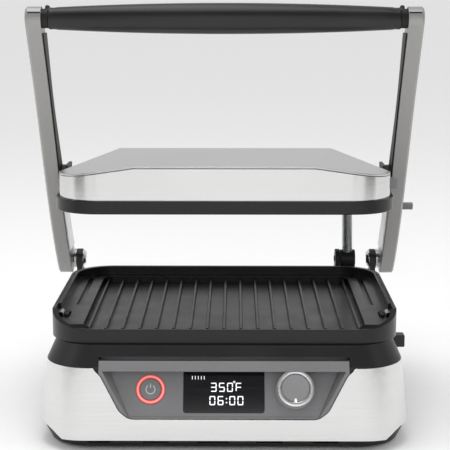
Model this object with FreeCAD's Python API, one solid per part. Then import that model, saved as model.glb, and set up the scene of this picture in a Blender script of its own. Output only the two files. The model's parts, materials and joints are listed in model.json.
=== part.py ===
"""Panini press with a floating lid: base, two cooking plates, lid, lifting arms and handle.

Millimetres. X runs across the press, Y from its front to its back, Z up from the table.
The shapes are drawn about the middle of the lower plate and moved once, when they are written,
so that the origin is the middle of the whole outline on the table. The lid is drawn raised.
"""
import FreeCAD, Part
import math
import os

V = FreeCAD.Vector
os.makedirs("parts", exist_ok=True)

# ---- driving dimensions -------------------------------------------------------------------
clear = 0.4  # gap between neighbouring pieces that don't touch
run_clear = 0.05  # radial clearance of a pin in its bore
seam = 0.6  # visible seam between covers

# cooking plates
plate_half = 154.5
plate_depth = 224.0
plate_corner = 40.0
plate_under = 91.6  # underside of the lower plate
lip_top = 104.5  # top of the lower plate's front lip
rail_top = 114.6  # top of the lower plate's side rails
cook_half = 124.0  # half the width of the ribbed area
rib_count = 17
rib_pitch = 14.9
rib_width = 3.4
rib_height = 4.0
groove_x = 136.0  # grease grooves, one at each side
groove_width = 5.0
rail_wall = 5.5
rail_groove = 1.2  # width of the line along the top of each side rail
upper_under = 198.4  # underside of the upper plate with the lid raised
upper_height = 11.9

# base
foot_height = 3.0
pan_wide_z = 19.0
wrap_top = 74.0
wrap_low = 10.4
wrap_wall = 1.2
base_half_low = 164.0  # at pan_wide_z
base_half_high = 158.0  # at wrap_top
base_front_low = 132.5
base_front_high = 128.0
base_corner = 42.0
bezel_half = 150.0
bezel_front = 117.0
pan_wall = 2.5
pan_half = 155.0
pan_front = 125.0

# control panel, a face that leans back in a recess of the base's front
panel_lean = 24.0
panel_foot_y = -130.0
panel_foot_z = 31.0
panel_length = 47.7
panel_half_low = 82.7
panel_half_high = 103.3
panel_wall = 2.0
recess_round = 13.0  # corners of the recess that the panel lies in
window_half = 35.4
window_height = 40.8
button_x = -64.0
button_radius = 9.1
button_travel = 1.5
ring_radius = 12.9
ring_width = 3.4
knob_x = 62.0
knob_radius = 16.1
knob_skirt = 17.1
knob_height = 14.0
knob_travel = 1.0
shaft_radius = 3.0

# arms, hinge and handle
arm_outer = 176.0
arm_wall = 14.0
hinge_y = 144.0
hinge_z = 116.0
arm_hinge_radius = 15.0
pin_radius = 5.0
pivot_y = 58.5  # lid pivot with the lid raised
pivot_z = 215.0
pivot_radius = 12.0
pivot_pin = 4.0
grip_y = -45.0
grip_z = 371.0
grip_radius = 13.7
grip_end_radius = 9.6
tube_radius = 5.0
arm_end_radius = 10.5
liner_wall = 1.4
lock_tip = 12.5  # how far the lock pin's knob stands out of the right arm
lock_radius = 3.8
lock_z = 181.0

# lid
shell_half = 151.5
shell_inset = 2.5  # the shell is this much smaller than the plate at front and back
lid_top = 241.2
lid_set_back = 44.4  # lid's travel to the back while it rises
cover_wall = 1.5

# wiring conduit
conduit_radius = 5.5
conduit_x = 128.0
conduit_top = 215.0
swivel_half = 7.8
swivel_radius = 9.4
gland_top = 220.0

# ---- derived ------------------------------------------------------------------------------
plate_front = -plate_depth / 2
plate_back = plate_depth / 2
lid_front = plate_front + lid_set_back
lid_back = lid_front + plate_depth
arm_inner = arm_outer - arm_wall
upper_top = upper_under + upper_height
gland_back = lid_back + 17.0
lean = math.radians(panel_lean)
knob_reach = knob_height * math.cos(lean) + (knob_radius - panel_length / 2) * math.sin(lean)
front_most = panel_foot_y - knob_reach
shift = V(-lock_tip / 2, -(front_most + gland_back) / 2, 0)


def save(name, shape):
    """Writes one node, moved so that the origin is the middle of the outline on the table."""
    moved = shape.copy()
    moved.translate(shift)
    moved.exportStep("parts/" + name + ".step")


def box(x0, x1, y0, y1, z0, z1):
    return Part.makeBox(x1 - x0, y1 - y0, z1 - z0, V(x0, y0, z0))


def rod(y, z, radius, x0, x1):
    """A cylinder along X."""
    return Part.makeCylinder(radius, x1 - x0, V(x0, y, z), V(1, 0, 0))


def post(x, y, radius, z0, z1):
    """A cylinder along Z."""
    return Part.makeCylinder(radius, z1 - z0, V(x, y, z0))


def rounded(half, y0, y1, radius, z):
    """A rounded rectangle at height z, centred across X, as a wire."""
    h, r = half, radius
    k = r * (1 - math.sqrt(0.5))
    corners = [(h, y0, -1, 1), (h, y1, -1, -1), (-h, y1, 1, -1), (-h, y0, 1, 1)]
    edges = []
    last = None
    for i, (x, y, sx, sy) in enumerate(corners):
        along_x = V(x + sx * r, y, z)
        along_y = V(x, y + sy * r, z)
        start, end = (along_x, along_y) if i % 2 == 0 else (along_y, along_x)
        if last is not None:
            edges.append(Part.makeLine(last, start))
        else:
            first = start
        edges.append(Part.Arc(start, V(x + sx * k, y + sy * k, z), end).toShape())
        last = end
    edges.append(Part.makeLine(last, first))
    return Part.Wire(edges)


def prism(half, y0, y1, radius, z0, z1):
    return Part.Face(rounded(half, y0, y1, radius, z0)).extrude(V(0, 0, z1 - z0))


def taper(low, high):
    """A loft between two rounded rectangles, each (half, y0, y1, radius, z)."""
    return Part.makeLoft([rounded(*low), rounded(*high)], True, True)


def slab_x(points, x0, x1):
    """A polygon of (y, z) points, carried along X from x0 to x1."""
    wire = Part.makePolygon([V(x0, y, z) for y, z in points + points[:1]])
    return Part.Face(wire).extrude(V(x1 - x0, 0, 0))


def slab_y(points, y0, y1):
    """A polygon of (x, z) points, carried along Y from y0 to y1."""
    wire = Part.makePolygon([V(x, y0, z) for x, z in points + points[:1]])
    return Part.Face(wire).extrude(V(0, y1 - y0, 0))


def mirrored(shape):
    return shape.mirror(V(0, 0, 0), V(1, 0, 0))


def both(shape):
    """The shape and its mirror image in the middle plane, as separate solids."""
    return Part.makeCompound([shape, mirrored(shape)])


def rounded_edges(shape, radius, wanted):
    """Fillets the edges for which wanted(edge) is true."""
    edges = [e for e in shape.Edges if wanted(e)]
    return shape.makeFillet(radius, edges)


def half_at(z, extra=0.0):
    """Half the base's width at height z, on the straight line of its side."""
    t = (z - pan_wide_z) / (wrap_top - pan_wide_z)
    return base_half_low + (base_half_high - base_half_low) * t + extra


def front_at(z, extra=0.0):
    t = (z - pan_wide_z) / (wrap_top - pan_wide_z)
    return base_front_low + (base_front_high - base_front_low) * t + extra


def base_level(z, inset):
    """The base's outline at height z, inset from its outer surface."""
    front = front_at(z, -inset)
    return (half_at(z, -inset), -front, front, base_corner - inset, z)


# ---- panel frame: across, up along the face, and out of it ----------------------------------
panel_place = FreeCAD.Placement(
    FreeCAD.Matrix(
        1, 0, 0, 0,
        0, math.sin(lean), -math.cos(lean), panel_foot_y,
        0, math.cos(lean), math.sin(lean), panel_foot_z,
        0, 0, 0, 1,
    )
)


def on_panel(shape):
    """Moves a shape drawn with the panel's face as its XY plane to its place."""
    placed = shape.copy()
    placed.transformShape(panel_place.toMatrix())
    return placed


def disc(x, y, radius, z0, z1):
    return on_panel(Part.makeCylinder(radius, z1 - z0, V(x, y, z0)))


def ring(x, y, outer, inner, z0, z1):
    return disc(x, y, outer, z0, z1).cut(disc(x, y, inner, z0 - 1, z1 + 1))


def trapezoid(grow, z0, z1):
    """The panel's outline, grown by grow on each side, from z0 to z1 out of its face."""
    g = grow
    points = [
        V(-panel_half_low - g, -g, z0),
        V(panel_half_low + g, -g, z0),
        V(panel_half_high + g, panel_length + g, z0),
        V(-panel_half_high - g, panel_length + g, z0),
    ]
    return Part.Face(Part.makePolygon(points + points[:1])).extrude(V(0, 0, z1 - z0))


panel_mid = panel_length / 2

# ---- base ---------------------------------------------------------------------------------
cut_out = [
    (114.3, wrap_top + 20),
    (114.3, wrap_top - 0.5),
    (107.4, 67.4),
    (91.2, 36.0),
    (82.5, 29.0),
]
cut_out = cut_out + [(-x, z) for x, z in reversed(cut_out)]
cut_rear = 118.0  # the steel band ends here, and the rear cover begins


def recess(shrink):
    """The control panel's recess, seen from the front, with rounded corners."""
    points = []
    for x, z in cut_out:
        side = 1 if x > 0 else -1
        low = shrink if z < 30 else 0
        points.append((x - side * shrink, z + low))
    block = slab_y(points, -160, -95)
    return rounded_edges(
        block,
        recess_round,
        lambda e: abs(e.BoundBox.YLength) > 60 and e.BoundBox.ZMax < wrap_top + 1,
    )


def make_wrap():
    outer = taper(base_level(wrap_low, 0), base_level(wrap_top, 0))
    inner = taper(base_level(wrap_low - 1, wrap_wall), base_level(wrap_top + 1, wrap_wall))
    band = outer.cut(inner)
    band = band.cut(box(-200, 200, cut_rear, 200, 0, 100))
    step = [(139, wrap_low - 2), (143, wrap_low + 1.2), (150, pan_wide_z - 2.5), (155, pan_wide_z)]
    step = step + [(200, pan_wide_z), (200, wrap_low - 2)]
    side = slab_y(step, -160, 160)
    band = band.cut(side).cut(mirrored(side))
    return band.cut(recess(0)).cut(button_bore())


def make_pan():
    low = (pan_half, -pan_front, pan_front, base_corner - 4, foot_height)
    outer = taper(low, base_level(pan_wide_z, wrap_wall + 0.3))
    lift = taper(base_level(pan_wide_z, wrap_wall + 0.3), base_level(34, wrap_wall + 0.3))
    body = outer.fuse(lift)
    w = pan_wall
    low_in = (pan_half - w, -pan_front + w, pan_front - w, base_corner - 6, foot_height + w)
    hollow = taper(low_in, base_level(pan_wide_z, wrap_wall + w))
    upper = taper(base_level(pan_wide_z, wrap_wall + w), base_level(35, wrap_wall + w))
    body = body.cut(hollow.fuse(upper))
    body = body.cut(box(-112, 112, -200, -90, 25, 40))
    body = body.cut(box(-200, 200, cut_rear - 3, 200, pan_wide_z, 40))
    for x, length in ((-109, 20), (-60, 22), (-9, 28), (40, 23), (89, 22)):
        slot = box(x - length / 2, x + length / 2, -140, -110, 6.2, 8.4)
        body = body.cut(slot)
    for x in range(-60, 61, 15):
        slot = box(x - 3, x + 3, -60, 60, foot_height - 1, foot_height + w + 1)
        body = body.cut(slot)
    for x, y in screw_places:
        boss = post(x, y, 5, foot_height, 26)
        body = body.fuse(boss).cut(post(x, y, 1.7, foot_height + 1, 27))
        body = body.cut(post(x, y, 3.6, foot_height - 1, foot_height + 3))
    for x, y in foot_places:
        body = body.cut(post(x, y, 9 + 0.2, foot_height - 1, foot_height + 1))
    return body


foot_places = [(x, y) for x in (-122, 122) for y in (-88, 88)]
screw_places = [(x, y) for x in (-100, 100) for y in (-70, 70)]


def make_bezel():
    low = base_level(wrap_top + seam, 0.4)
    top = (bezel_half, -bezel_front, bezel_front, plate_corner, plate_under - 0.3)
    outer = taper(low, top)
    tongue = taper(base_level(wrap_top - 8, wrap_wall + 0.3), base_level(wrap_top + seam, wrap_wall + 0.3))
    body = outer.fuse(tongue)
    well = prism(bezel_half - 9, -bezel_front + 11, bezel_front - 11, 32, 60, 100)
    body = body.cut(well)
    brow = slab_y(
        [(109, 0), (109, 82.7), (-109, 82.7), (-109, 0)],
        -160,
        -95,
    )
    body = body.cut(brow)
    for side in (1, -1):
        x0, x1 = sorted((side * 138.0, side * 146.5))
        body = body.cut(box(x0, x1, -76, -54, 60, 100))
    body = body.cut(button_bore())
    body = body.cut(box(-141 - clear, 141 + clear, 70, 140, 57, 71))
    return body


def button_bore():
    """The opening for the lower plate's release button in the right side."""
    g = clear
    return box(140, 175, -36 - g, -24 + g, 68 - g, 80 + g)


def make_rear_cover():
    outer = taper(base_level(pan_wide_z + 0.4, 0.2), base_level(wrap_top, 0.2))
    inner = taper(base_level(pan_wide_z, 3.2), base_level(wrap_top - 3, 3.2))
    back = box(-200, 200, cut_rear + 0.4, 200, 0, 120)
    shell = outer.cut(inner).common(back)
    hump = box(-147, 147, 119, 134, 50, wrap_top)
    bridge = box(-112, conduit_x + 12, 119, 156, 71.5, 98)
    bridge = rounded_edges(bridge, 5.0, lambda e: e.BoundBox.YMin > 155 and e.BoundBox.XLength > 50)
    hump = hump.fuse(bridge)
    ear_end = conduit_x - swivel_half - 0.8
    ear = box(conduit_x - 13, ear_end, 134, 154, 90, hinge_z)
    ear = ear.fuse(rod(hinge_y, hinge_z, 10, conduit_x - 13, ear_end))
    body = shell.fuse(hump).fuse(ear)
    body = body.cut(rod(hinge_y, hinge_z, 3 + run_clear, conduit_x - 14, conduit_x - 8))
    body = body.cut(rod(hinge_y, hinge_z, 10 + clear, ear_end, conduit_x + 14))
    notch = conduit_radius + 2.5
    body = body.cut(box(conduit_x - notch, conduit_x + notch, 145, 160, 60, 110))
    body = body.cut(box(-200, 200, 100, 128.2, wrap_top - 8.4, 120))
    body = body.cut(prism(bezel_half - 4, -200, bezel_front + 4, 32, 50, 62))
    body = body.cut(box(-141 - clear, 141 + clear, 70, 140, 57, 71))
    body = body.cut(Part.makeCylinder(8 + 0.1, 30, V(-90, 110, 40), V(0, 1, 0)))
    for x in range(-50, 51, 20):
        body = body.cut(box(x, x + 12, 120, 140, 34, 37))
        body = body.cut(box(x, x + 12, 120, 140, 41, 44))
    return body


def make_housing():
    body = recess(clear)
    inside = taper(base_level(wrap_low, 0.7), base_level(wrap_top, 0.7))
    upper = taper(base_level(wrap_top, 0.7), (bezel_half, -bezel_front, bezel_front, plate_corner, 90))
    body = body.common(inside.fuse(upper))
    body = body.cut(box(-200, 200, -200, 0, 82.7 - clear, 120))
    side = 109 - clear
    for x0, x1 in ((side, 200), (-200, -side)):
        body = body.cut(box(x0, x1, -200, 0, wrap_top - 8.4, 120))
    front_side = on_panel(box(-200, 200, -60, 120, -6, 60))
    body = body.common(front_side)
    flare = Part.makeLoft(
        [panel_wire(0.2, -panel_wall - 0.2), panel_wire(0.2, 0), panel_wire(9.0, 14)], True, True
    )
    body = body.cut(on_panel(flare))
    above = on_panel(box(-120, 120, panel_length + 0.2, panel_length + 40, -2, 40))
    body = body.cut(above.common(box(-120, 120, -200, 0, 60, 100)))
    opening = box(-window_half - 3, window_half + 3, panel_mid - 23, panel_mid + 23, -9, 3)
    body = body.cut(on_panel(opening))
    body = body.cut(disc(button_x, panel_mid, ring_radius + 1, -9, 3))
    body = body.cut(disc(knob_x, panel_mid, 9, -9, 3))
    return body


def panel_wire(grow, z):
    g = grow
    points = [
        V(-panel_half_low - g, -g * 0.3, z),
        V(panel_half_low + g, -g * 0.3, z),
        V(panel_half_high + g, panel_length + g, z),
        V(-panel_half_high - g, panel_length + g, z),
    ]
    return Part.makePolygon(points + points[:1])


def make_panel():
    plate = trapezoid(0, -panel_wall, 0)
    window = box(-window_half, window_half, panel_mid - window_height / 2, panel_mid + window_height / 2, -5, 5)
    window = rounded_edges(window, 2.5, lambda e: abs(e.BoundBox.ZLength) > 9)
    plate = plate.cut(window)
    plate = on_panel(plate)
    plate = plate.cut(disc(button_x, panel_mid, ring_radius + 0.1, -5, 5))
    return plate.cut(disc(knob_x, panel_mid, 5.5, -5, 5))


def make_window():
    g = 0.15
    w, h = window_half - g, window_height / 2 - g
    glass = box(-w, w, panel_mid - h, panel_mid + h, -panel_wall, 0.4)
    glass = rounded_edges(glass, 2.3, lambda e: abs(e.BoundBox.ZLength) > 2 and e.Length < 3)
    return on_panel(glass)


def make_element(z, y0, y1, radius=3.3, half=96.0):
    """A tubular heater bent in an M: four long legs joined by half turns."""
    legs = [-half, -half / 3, half / 3, half]
    turn = half / 3
    edges = []
    for i, x in enumerate(legs):
        low, high = y0 + turn, y1 - turn
        a, b = V(x, low, z), V(x, high, z)
        if i == 0:
            a = V(x, y1, z)
            b = V(x, low, z)
        elif i == 3:
            a = V(x, low, z)
            b = V(x, y1, z)
        elif i == 2:
            a, b = b, a
        edges.append(Part.makeLine(a, b))
        if i < 3:
            following = legs[i + 1]
            mid = (x + following) / 2
            if i % 2 == 0:
                edges.append(Part.Arc(b, V(mid, y0, z), V(following, low, z)).toShape())
            else:
                edges.append(Part.Arc(b, V(mid, y1, z), V(following, high, z)).toShape())
    path = Part.Wire(edges)
    section = Part.Wire([Part.makeCircle(radius, V(-half, y1, z), V(0, 1, 0))])
    return path.makePipeShell([section], True, False)


# ---- plates -------------------------------------------------------------------------------
def rib_rows(z0, height, y0, y1):
    """Tapered ribs that run from front to back, standing on z0."""
    ribs = []
    base_half = rib_width / 2
    crest_half = rib_width / 2 - 0.7
    for i in range(rib_count):
        x = (i - (rib_count - 1) / 2) * rib_pitch
        points = [
            (x - base_half, z0 - 0.5),
            (x + base_half, z0 - 0.5),
            (x + crest_half, z0 + height),
            (x - crest_half, z0 + height),
        ]
        ribs.append(slab_y(points, y0, y1))
    return ribs


def make_lower_plate():
    body = prism(plate_half, plate_front, plate_back, plate_corner, plate_under, rail_top)
    # the rim climbs from the front lip to the side rails
    slope = [(plate_front - 1, lip_top), (plate_front + 4, lip_top), (-76, rail_top - 0.4)]
    slope = slope + [(-70, rail_top + 1), (plate_front - 1, rail_top + 1)]
    body = body.cut(slab_x(slope, -200, 200))
    # the rim's own height inside the side rails
    dish_front = plate_front + 3.0
    dish = prism(plate_half - rail_wall, dish_front, plate_back - 4, plate_corner - 5, 106.5, 130)
    body = body.cut(dish)
    cook_front = plate_front + 5.5
    well = prism(cook_half, cook_front, plate_back - 14, 10, 100, 130)
    body = body.cut(well)
    for rib in rib_rows(100, rib_height, cook_front + 1.5, plate_back - 17):
        body = body.fuse(rib)
    body = body.cut(box(-120, 120, cook_front - 4, cook_front + 1, lip_top - 0.8, 130))
    for side in (1, -1):
        x0 = side * groove_x - groove_width / 2
        groove = box(x0, x0 + groove_width, -27, plate_back - 16, 103.5, 130)
        groove = groove.fuse(box(x0, x0 + groove_width, -27, -15, 85, 130))
        body = body.cut(groove)
        x0, x1 = sorted((side * 139.5, side * 151.5))
        body = body.cut(box(x0, x1, -75, -55, 80, 130))
        x0 = side * (plate_half - rail_wall / 2) - rail_groove / 2
        body = body.cut(box(x0, x0 + rail_groove, -52, plate_back - plate_corner, rail_top - 0.8, 130))
    under = prism(plate_half - 13, plate_front + 12, plate_back - 12, plate_corner - 12, 80, 96)
    channel = box(groove_x - 5, groove_x + 5, -32, -10, 80, 104)
    wall = channel.cut(box(groove_x - 2.5, groove_x + 2.5, -28, -14, 70, 130))
    body = body.cut(under)
    wall = wall.common(prism(plate_half - 13.2, plate_front, plate_back, 20, plate_under, 100))
    return body.fuse(wall).fuse(mirrored(wall)).removeSplitter()


def make_upper_plate():
    body = prism(plate_half, lid_front, lid_back, plate_corner, upper_under, upper_top)
    body = rounded_edges(body, 1.2, lambda e: e.BoundBox.ZMax < upper_under + 0.1)
    well = prism(plate_half - 9, lid_front + 9, lid_back - 9, plate_corner - 9, upper_under - 5, upper_under + 5)
    body = body.cut(well)
    for rib in rib_rows(0, rib_height, lid_front + 12, lid_back - 12):
        down = rib.mirror(V(0, 0, 0), V(0, 0, 1))
        down.translate(V(0, 0, upper_under + 5))
        body = body.fuse(down)
    back = prism(plate_half - 16, lid_front + 16, lid_back - 16, 24, upper_top - 4.8, upper_top + 5)
    return body.cut(back).removeSplitter()


# ---- lid ----------------------------------------------------------------------------------
rear_top = 227.0
corner_top = 217.0


def lid_volume(drop, inset):
    """The faceted lid body, its top lowered by drop and its walls set in by inset."""
    z = lid_top - drop
    s = shell_half - inset
    front = lid_front + shell_inset + inset
    back = lid_back - shell_inset - inset
    radius = plate_corner - 2.5 - inset
    body = prism(s, front, back, radius, upper_top, lid_top + 5)
    y_rear = 75.5
    fall = 0.143
    f = lid_front
    half_f, half_r = 81.0, 104.4

    def side_z(x, y):
        dx, dy = half_r - half_f, y_rear - f
        length = math.hypot(dx, dy)
        distance = ((x - half_f) * dy - (y - f) * dx) / length
        return z - fall * distance

    far = 260.0
    reach_f = V(far, f - 40, side_z(far, f - 40))
    plateau_f = V(half_f - 40 * (half_r - half_f) / (y_rear - f), f - 40, z)
    plateau_r = V(half_r, y_rear, z)
    corner = V(shell_half, f + 39.6, side_z(shell_half, f + 39.6))
    rear_mid = V(half_r, lid_back, rear_top - drop)
    side_rear = V(shell_half, lid_back - 38, corner_top - drop)
    top = lid_top + 40
    cutters = [
        plane_cut(plateau_f, reach_f, plateau_r, top),
        plane_cut(corner, side_rear, plateau_r, top),
        plane_cut(side_rear, rear_mid, plateau_r, top),
        plane_cut(V(-half_r, y_rear, z), plateau_r, rear_mid, top),
    ]
    body = body.cut(box(-300, 300, -300, 400, z, top + 50))
    for cutter in cutters:
        body = body.cut(cutter)
        body = body.cut(mirrored(cutter))
    return body


def plane_cut(a, b, c, top):
    """A large block that lies above the plane through three points."""
    normal = (b - a).cross(c - a)
    if normal.z < 0:
        normal = normal * -1
    normal.normalize()
    middle = (a + b + c) / 3
    block = Part.makeBox(900, 900, 200, V(-450, -450, 0))
    block.Placement = FreeCAD.Placement(middle, FreeCAD.Rotation(V(0, 0, 1), normal))
    return block


def make_cover():
    body = lid_volume(0, 0).cut(lid_volume(cover_wall, -3))
    return body


def make_band():
    body = lid_volume(cover_wall + seam, 0)
    hollow = prism(
        shell_half - wrap_wall,
        lid_front + shell_inset + wrap_wall,
        lid_back - shell_inset - wrap_wall,
        plate_corner - 2.5 - wrap_wall,
        upper_top - 5,
        lid_top + 20,
    )
    body = body.cut(hollow)
    body = body.cut(box(140, 175, -20, -6, 213.5, 225.5))
    gland = box(conduit_x - 9, conduit_x + 9, lid_back - 30, lid_back + 30, 205, 240)
    body = body.cut(gland)
    for side in (1, -1):
        x0, x1 = sorted((side * 140, side * 175))
        body = body.cut(box(x0, x1, pivot_y - 8.4, pivot_y + 8.4, 205, 216.8))
    return body


def make_lid_frame():
    outer = prism(
        shell_half - wrap_wall - 0.3,
        lid_front + shell_inset + wrap_wall + 0.3,
        lid_back - shell_inset - wrap_wall - 0.3,
        plate_corner - 4,
        upper_top + 0.3,
        upper_top + 6,
    )
    inner = prism(plate_half - 25, lid_front + 18, lid_back - 29, 24, upper_top - 5, upper_top + 4.9)
    body = outer.cut(inner)
    keep = lid_volume(cover_wall + seam + 1, wrap_wall + 0.3)
    body = body.common(keep)
    body = body.cut(box(130, 175, -21, -5, 213, 226))
    gland = box(conduit_x - 9, conduit_x + 9, lid_back - 30, lid_back + 30, 205, 240)
    body = body.cut(gland)
    for side in (1, -1):
        x0, x1 = sorted((side * 133, side * 175))
        body = body.cut(box(x0, x1, pivot_y - 8.4, pivot_y + 8.4, 205, 225))
    return body


def make_pivot():
    """The right lid pivot: a boss that stands out of the lid's side and its pin."""
    boss = box(134, plate_half + 1, pivot_y - 8, pivot_y + 8, upper_top + 0.9, pivot_z + 1.4)
    boss = boss.fuse(rod(pivot_y, pivot_z, pivot_radius, plate_half + 0.5, arm_inner - liner_wall - 0.5))
    web = slab_x(
        [(pivot_y - 12, pivot_z), (pivot_y + 12, pivot_z), (pivot_y + 16, 228), (pivot_y - 16, 228)],
        shell_half + 0.8,
        shell_half + 3.8,
    )
    pin = rod(pivot_y, pivot_z, pivot_pin, plate_half + 1, arm_outer - 3)
    return boss.fuse(web).fuse(pin).removeSplitter()


def make_gland():
    body = box(conduit_x - 12, conduit_x + 12, lid_back - 6, gland_back, 206, gland_top)
    body = rounded_edges(body, 4.0, lambda e: e.BoundBox.YMax > gland_back - 0.1)
    neck = box(conduit_x - 8.6, conduit_x + 8.6, lid_back - 22, lid_back - 5, 211, gland_top - 2)
    neck = neck.cut(lid_volume(0, 0).cut(lid_volume(cover_wall + 0.3, -3)))
    body = body.cut(box(conduit_x - 30, conduit_x + 30, 100, lid_back + 1.0, 200, upper_top + 0.3))
    body = body.cut(lid_volume(0, -0.4))
    body = body.fuse(neck)
    socket = post(conduit_x, conduit_end_y, conduit_radius + 1.4, 200, conduit_top + 1.5)
    return body.cut(socket)


# ---- arms ---------------------------------------------------------------------------------
front_edge = [(62.0, 191.0), (26.6, 246.1), (-4.8, 295.5)]


def tangent_spline(points, first, last):
    """A smooth curve through the points that leaves along first and arrives along last."""
    curve = Part.BSplineCurve()
    curve.interpolate(Points=points, InitialTangent=first, FinalTangent=last)
    return curve


def arm_outline():
    """The arm seen from the side, as a face in the YZ plane at X = 0."""
    along = math.radians(56.0)
    back = V(0, math.sin(along), math.cos(along))
    grip = V(0, grip_y, grip_z)
    top_front = grip - back * arm_end_radius
    top_back = grip + back * arm_end_radius
    crown = grip + V(0, -math.cos(along), math.sin(along)) * arm_end_radius
    hinge = V(0, hinge_y, hinge_z)
    low = math.radians(43.0)
    out = V(0, math.sin(low), math.cos(low))
    low_front = hinge - out * arm_hinge_radius
    low_back = hinge + out * arm_hinge_radius
    heel = hinge + V(0, math.cos(low), -math.sin(low)) * arm_hinge_radius
    front = [V(0, y, z) for y, z in front_edge]
    rear = [
        front[2] + back * 12.5,
        front[1] + back * 17.0,
        front[0] + back * 25.0,
    ]
    up_low = V(0, -math.cos(low), math.sin(low))
    up_top = V(0, -math.cos(along), math.sin(along))
    front_curve = tangent_spline([low_front] + front + [top_front], up_low, up_top)
    rear_curve = tangent_spline([top_back] + rear + [low_back], up_top * -1, up_low * -1)
    edges = [
        front_curve.toShape(),
        Part.Arc(top_front, crown, top_back).toShape(),
        rear_curve.toShape(),
        Part.Arc(low_back, heel, low_front).toShape(),
    ]
    return Part.Face(Part.Wire(edges))


def make_arm():
    """The right arm."""
    face = arm_outline()
    face.translate(V(arm_inner, 0, 0))
    body = face.extrude(V(arm_wall, 0, 0))
    body = body.makeChamfer(1.6, [e for e in body.Edges if e.BoundBox.XMin > arm_outer - 0.1])
    body = body.cut(rod(hinge_y, hinge_z, pin_radius + run_clear, 150, arm_outer - 3))
    body = body.cut(rod(pivot_y, pivot_z, pivot_pin + run_clear, 150, arm_outer - 2.6))
    body = body.cut(rod(grip_y, grip_z, tube_radius + 0.02, 150, arm_outer - 4))
    return body


def arm_strip(inset, z0, z1, x0, x1):
    """A strip on the arm's inner side, set in from the arm's edges, between two heights."""
    face = arm_outline()
    body = face.extrude(V(x1 - x0, 0, 0))
    body.translate(V(x0, 0, 0))
    thin = body.copy()
    thin.translate(V(0, inset * math.sin(math.radians(56)), inset * math.cos(math.radians(56))))
    body = body.common(thin)
    return body.common(box(0, 300, -200, 300, z0, z1))


def lock_place():
    t = (lock_z - hinge_z) / (pivot_z - hinge_z)
    return hinge_y + (pivot_y - hinge_y) * t + 2


# ---- conduit ------------------------------------------------------------------------------
conduit_end_y = lid_back + 7.0
conduit_route = [
    (hinge_y, hinge_z + 6),
    (hinge_y + 5.0, hinge_z + 30),
    (hinge_y + 11.0, hinge_z + 54),
    (hinge_y + 17.0, hinge_z + 77),
    (conduit_end_y, conduit_top),
]


def bent_path(points):
    """Straight runs joined by tangent arcs, each as large as its runs allow; returns wire and length."""
    spots = [V(conduit_x, y, z) for y, z in points]
    edges = []
    start = spots[0]
    for a, b, c in zip(spots, spots[1:], spots[2:]):
        into, out = (b - a), (c - b)
        short = min(into.Length, out.Length)
        into.normalize()
        out.normalize()
        half_turn = into.getAngle(out) / 2
        reach = 0.45 * short
        radius = reach / math.tan(half_turn)
        p, q = b - into * reach, b + out * reach
        bisector = out - into
        bisector.normalize()
        centre = b + bisector * (radius / math.cos(half_turn))
        middle = centre - bisector * radius
        edges.append(Part.makeLine(start, p))
        edges.append(Part.Arc(p, middle, q).toShape())
        print("conduit bend radius", round(radius, 1))
        start = q
    edges.append(Part.makeLine(start, spots[-1]))
    wire = Part.Wire(edges)
    return wire, spots[0], spots[1] - spots[0]


def make_conduit():
    wire, start, direction = bent_path(conduit_route)
    section = Part.Wire([Part.makeCircle(conduit_radius, start, direction)])
    tube = wire.makePipeShell([section], True, False)
    expected = math.pi * conduit_radius**2 * wire.Length
    print("conduit length", round(wire.Length, 1), "volume ratio", round(tube.Volume / expected, 4))
    return tube


# ---- write the base -------------------------------------------------------------------------
save("base_wrap", make_wrap())
save("base_pan", make_pan())
save("base_bezel", make_bezel())
save("rear_cover", make_rear_cover())
save("feet", Part.makeCompound([post(x, y, 9, 0, foot_height + 0.8) for x, y in foot_places]))
screws = []
for x, y in screw_places:
    shank = post(x, y, 1.65, foot_height + 2.9, 16)
    screws.append(post(x, y, 3.2, foot_height + 0.6, foot_height + 2.95).fuse(shank))
save("base_screws", Part.makeCompound(screws))

save("panel_housing", make_housing())
save("control_panel", make_panel())
save("display_window", make_window())
board = box(-window_half - 2, window_half + 2, panel_mid - 22, panel_mid + 22, -6.5, -panel_wall - 0.4)
save("display_board", on_panel(board))
glow = ring(button_x, panel_mid, ring_radius, ring_radius - ring_width, -4, 0.5)
save("power_ring", glow)
control = box(-80, 80, 2, panel_length - 8, -13.5, -11.5)
save("control_board", on_panel(control.cut(Part.makeCylinder(shaft_radius + 1, 9, V(knob_x, panel_mid, -16)))))
button = disc(button_x, panel_mid, button_radius, -3, 0.9)
save("power_button", button.fuse(disc(button_x, panel_mid, 3.0, -8.5, -2.9)))
switch = disc(button_x, panel_mid, 5.0, -11.4, -8.5 - button_travel - 0.1)
save("power_switch", switch)
encoder = on_panel(box(knob_x - 6, knob_x + 6, panel_mid - 6, panel_mid + 6, -11.4, -6.5))
encoder = encoder.cut(disc(knob_x, panel_mid, shaft_radius + 0.06, -14, 5))
save("knob_encoder", encoder)
save("knob_shaft", disc(knob_x, panel_mid, shaft_radius, -10, knob_height - 4))
knob = disc(knob_x, panel_mid, knob_radius, 1.9 + knob_travel, knob_height - 1.2)
skirt = disc(knob_x, panel_mid, knob_skirt, 0.4 + knob_travel, 2.4 + knob_travel)
bore = disc(knob_x, panel_mid, shaft_radius + run_clear, -5, knob_height - 3.95)
knob = knob.fuse(skirt).cut(bore)
knob = knob.cut(ring(knob_x, panel_mid, knob_radius + 3, knob_radius - 3.9, knob_height - 4.2, knob_height))
save("knob_body", knob)
rim = ring(knob_x, panel_mid, knob_radius, knob_radius - 3.8, knob_height - 4.1, knob_height)
save("knob_rim", rim)

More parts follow.
